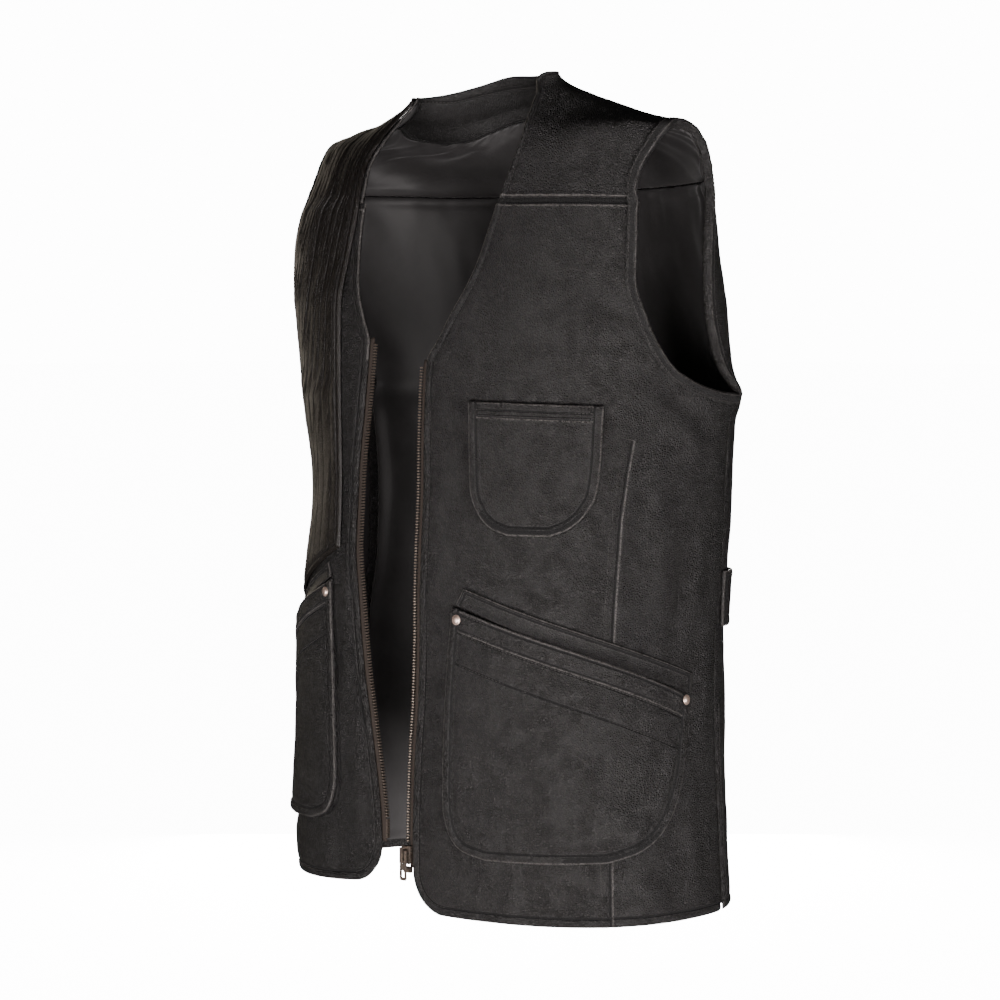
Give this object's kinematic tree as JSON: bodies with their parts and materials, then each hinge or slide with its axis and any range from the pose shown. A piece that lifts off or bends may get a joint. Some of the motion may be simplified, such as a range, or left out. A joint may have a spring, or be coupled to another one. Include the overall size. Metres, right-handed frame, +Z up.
{
  "type": "leather shooting vest, worn form",
  "caption": "Sleeveless front-zip leather vest in worn form, hollow inside, with a V neck, quilted shooting patch, chest pocket and slanted bellows pockets.",
  "frame": {"origin": "between the shoulders, at the level where the yoke bears on the wearer's shoulders", "axes": "+Z up, the front faces -Y, the wearer's left is +X"},
  "size_m": [0.4404, 0.2903, 0.7071],
  "materials": {
    "leather": "grained, semi-matt, dark brown-black",
    "leather_trim": "smooth edge leather",
    "satin_lining": "black satin",
    "zip_brass": "antique brass",
    "rivet_copper": "antique copper",
    "zip_tape": "dark brown woven tape"
  },
  "bodies": {
    "vest": {"front_left": "leather", "front_right": "leather", "back": "leather", "yoke": "leather", "shooting_patch": "leather", "chest_pocket": "leather", "chest_pocket_gusset": "leather_trim", "lower_pocket_left": "leather", "lower_pocket_left_gusset": "leather_trim", "lower_pocket_right": "leather", "lower_pocket_right_gusset": "leather_trim", "pocket_band_left": "leather_trim", "pocket_band_right": "leather_trim", "side_tab_left": "leather_trim", "side_tab_right": "leather_trim", "armhole_binding_left": "leather_trim", "armhole_binding_right": "leather_trim", "neck_facing": "leather_trim", "lining_yoke": "satin_lining", "lining_back": "satin_lining", "zip_tape_left": "zip_tape", "zip_tape_right": "zip_tape", "zip_teeth_left": "zip_brass", "zip_teeth_right": "zip_brass", "zip_slider": "zip_brass", "zip_box": "zip_brass", "zip_pin": "zip_brass", "rivet_front_left": "rivet_copper", "rivet_side_left": "rivet_copper", "rivet_front_right": "rivet_copper", "rivet_side_right": "rivet_copper"},
    "pull": {"zip_pull": "zip_brass"}
  },
  "joints": [
    {"name": "pull_swing", "type": "hinge", "parent": "vest", "child": "pull", "pos_m": [0.01741, -0.1287, -0.6219], "axis": [-0.9997, -0.0225, 0], "range_deg": [0, 95]}
  ]
}
